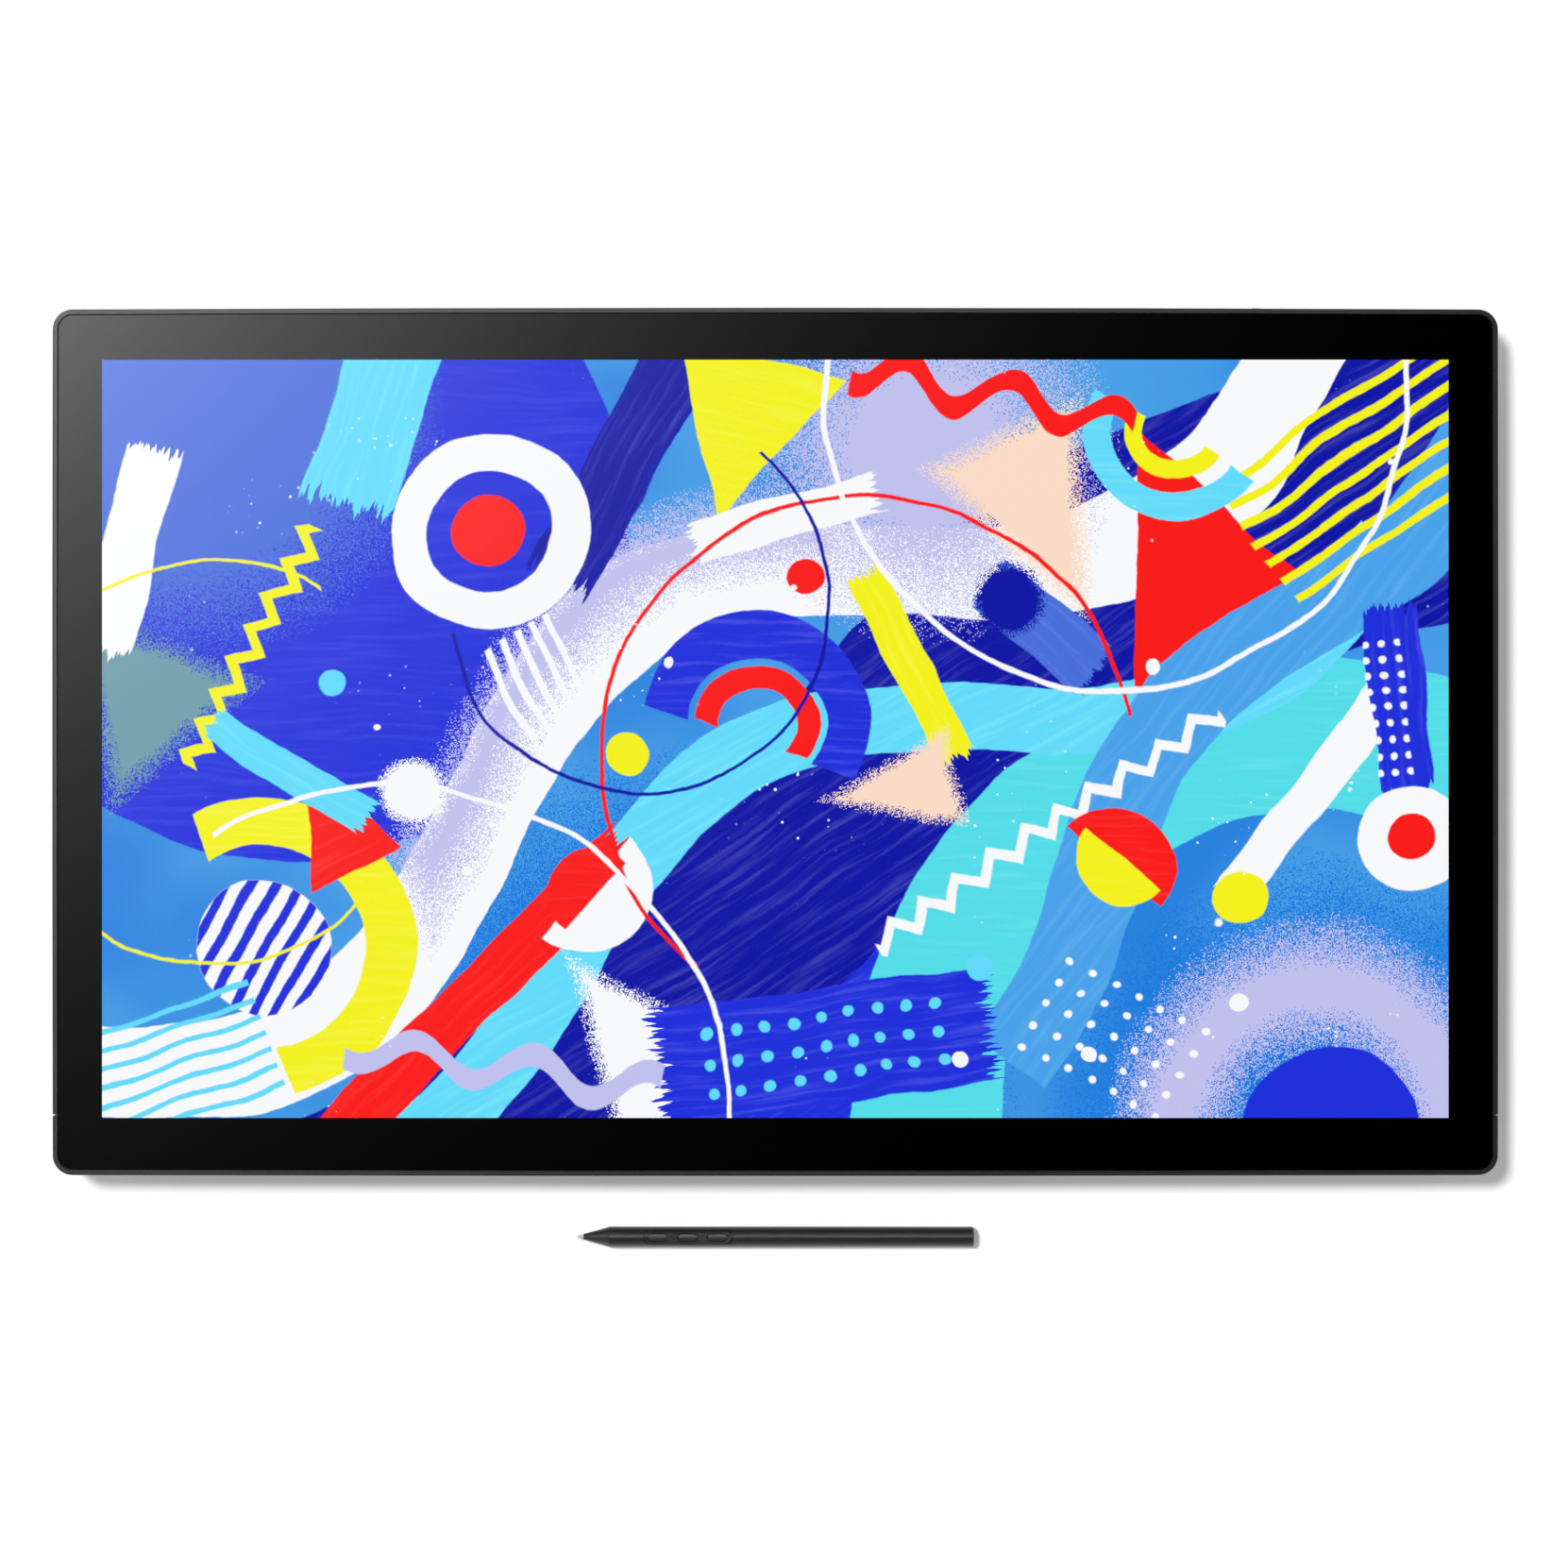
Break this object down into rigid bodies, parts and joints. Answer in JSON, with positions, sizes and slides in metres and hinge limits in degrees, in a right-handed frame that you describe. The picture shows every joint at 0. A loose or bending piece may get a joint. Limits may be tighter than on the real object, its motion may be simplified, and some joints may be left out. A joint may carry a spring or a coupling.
{
  "type": "pen display",
  "caption": "Large graphics tablet with a wide screen under etched glass in a slim metal frame, a low electronics box on its back, and its pressure pen.",
  "frame": {"origin": "centre of the four arm-mount holes, on the flat outer face of the electronics cover", "axes": "+X to the right and +Y to the top of the picture as the screen is read, +Z out of the screen"},
  "size_m": [0.6392, 0.4178, 0.031],
  "materials": {
    "glass": "etched anti-glare glass",
    "black_print": "black ceramic print",
    "frame_metal": "satin black coat on aluminium",
    "bare_aluminium": "mill finish",
    "steel": "plated",
    "brass": "turned",
    "panel": "liquid crystal cell with polarisers",
    "film": "frosted",
    "acrylic": "clear",
    "board_green": "solder mask",
    "chip_black": "moulded",
    "shell_black": "fine spark texture",
    "rubber": "moulded",
    "copper": "plain",
    "fan_black": "moulded",
    "key_black": "satin",
    "cable": "polyimide film",
    "pen_body": "soft satin",
    "pen_nib": "smooth",
    "pen_switch": "satin"
  },
  "bodies": {
    "display": {"cover_glass": "glass", "border_mask": "black_print", "frame_upper": "frame_metal", "frame_lower": "frame_metal", "accessory_inserts": "brass", "lcd_panel": "panel", "diffuser_films": "film", "light_guide": "acrylic", "reflector_sheet": "film", "led_bar": "film", "backlight_tray": "bare_aluminium", "sensor_board": "board_green", "shield_plate": "steel", "chassis_plate": "bare_aluminium", "rear_shell": "shell_black", "shell_screws": "steel", "electronics_cover": "shell_black", "cover_screws": "steel", "rubber_feet": "rubber", "arm_bracket": "steel", "main_board": "board_green", "power_board": "board_green", "driver_board": "board_green", "board_screws": "steel", "board_chips": "chip_black", "power_parts": "chip_black", "signal_sockets": "steel", "power_socket": "steel", "heat_spreader": "copper", "heat_pipe": "copper", "fin_stacks": "bare_aluminium", "fan_cases": "fan_black", "key_boards": "board_green", "switch_board": "board_green", "panel_cables": "cable"},
    "shortcut_key_left_1": {"shortcut_key_left_1": "key_black"},
    "shortcut_key_left_2": {"shortcut_key_left_2": "key_black"},
    "shortcut_key_left_3": {"shortcut_key_left_3": "key_black"},
    "shortcut_key_left_4": {"shortcut_key_left_4": "key_black"},
    "shortcut_key_right_1": {"shortcut_key_right_1": "key_black"},
    "shortcut_key_right_2": {"shortcut_key_right_2": "key_black"},
    "shortcut_key_right_3": {"shortcut_key_right_3": "key_black"},
    "shortcut_key_right_4": {"shortcut_key_right_4": "key_black"},
    "power_button": {"power_button": "key_black"},
    "touch_switch": {"touch_switch": "key_black"},
    "fan_rotor_left": {"fan_rotor_left": "fan_black"},
    "fan_rotor_right": {"fan_rotor_right": "fan_black"},
    "pen": {"pen_cone": "pen_body", "pen_grip": "pen_body", "pen_tail": "pen_body", "pen_end_cap": "pen_body", "pen_switch_plate": "pen_body", "pen_board": "board_green", "pen_coil": "copper", "pen_pressure_sensor": "chip_black"},
    "pen_nib": {"pen_nib": "pen_nib"},
    "pen_switch_1": {"pen_switch_1": "pen_switch"},
    "pen_switch_2": {"pen_switch_2": "pen_switch"},
    "pen_switch_3": {"pen_switch_3": "pen_switch"}
  },
  "joints": [
    {"name": "shortcut_key_left_1_press", "type": "slide", "parent": "display", "child": "shortcut_key_left_1", "axis": [0, 0, 1], "range_m": [0, 0.0005], "stiffness_N_per_m": 1200, "springref_m": -0.0005},
    {"name": "shortcut_key_left_2_press", "type": "slide", "parent": "display", "child": "shortcut_key_left_2", "axis": [0, 0, 1], "range_m": [0, 0.0005], "stiffness_N_per_m": 1200, "springref_m": -0.0005},
    {"name": "shortcut_key_left_3_press", "type": "slide", "parent": "display", "child": "shortcut_key_left_3", "axis": [0, 0, 1], "range_m": [0, 0.0005], "stiffness_N_per_m": 1200, "springref_m": -0.0005},
    {"name": "shortcut_key_left_4_press", "type": "slide", "parent": "display", "child": "shortcut_key_left_4", "axis": [0, 0, 1], "range_m": [0, 0.0005], "stiffness_N_per_m": 1200, "springref_m": -0.0005},
    {"name": "shortcut_key_right_1_press", "type": "slide", "parent": "display", "child": "shortcut_key_right_1", "axis": [0, 0, 1], "range_m": [0, 0.0005], "stiffness_N_per_m": 1200, "springref_m": -0.0005},
    {"name": "shortcut_key_right_2_press", "type": "slide", "parent": "display", "child": "shortcut_key_right_2", "axis": [0, 0, 1], "range_m": [0, 0.0005], "stiffness_N_per_m": 1200, "springref_m": -0.0005},
    {"name": "shortcut_key_right_3_press", "type": "slide", "parent": "display", "child": "shortcut_key_right_3", "axis": [0, 0, 1], "range_m": [0, 0.0005], "stiffness_N_per_m": 1200, "springref_m": -0.0005},
    {"name": "shortcut_key_right_4_press", "type": "slide", "parent": "display", "child": "shortcut_key_right_4", "axis": [0, 0, 1], "range_m": [0, 0.0005], "stiffness_N_per_m": 1200, "springref_m": -0.0005},
    {"name": "power_button_press", "type": "slide", "parent": "display", "child": "power_button", "axis": [0, -1, 0], "range_m": [0, 0.0004], "stiffness_N_per_m": 1500, "springref_m": -0.0004},
    {"name": "touch_switch_slide", "type": "slide", "parent": "display", "child": "touch_switch", "axis": [1, 0, 0], "range_m": [0, 0.003]},
    {"name": "fan_left_spin", "type": "hinge", "parent": "display", "child": "fan_rotor_left", "pos_m": [-0.15, 0.0748, 0.011], "axis": [0, 0, 1], "continuous": true},
    {"name": "fan_right_spin", "type": "hinge", "parent": "display", "child": "fan_rotor_right", "pos_m": [0.15, 0.0748, 0.011], "axis": [0, 0, 1], "continuous": true},
    {"name": "pen_lift", "type": "slide", "parent": "display", "child": "pen", "axis": [0, 0, 1], "range_m": [0, 0.12]},
    {"name": "pen_nib_press", "type": "slide", "parent": "pen", "child": "pen_nib", "axis": [1, 0, 0], "range_m": [0, 0.0004], "stiffness_N_per_m": 1500, "springref_m": -0.0004},
    {"name": "pen_switch_1_press", "type": "slide", "parent": "pen", "child": "pen_switch_1", "axis": [0, 0, -1], "range_m": [0, 0.0003], "stiffness_N_per_m": 1500, "springref_m": -0.0003},
    {"name": "pen_switch_2_press", "type": "slide", "parent": "pen", "child": "pen_switch_2", "axis": [0, 0, -1], "range_m": [0, 0.0003], "stiffness_N_per_m": 1500, "springref_m": -0.0003},
    {"name": "pen_switch_3_press", "type": "slide", "parent": "pen", "child": "pen_switch_3", "axis": [0, 0, -1], "range_m": [0, 0.0003], "stiffness_N_per_m": 1500, "springref_m": -0.0003}
  ]
}
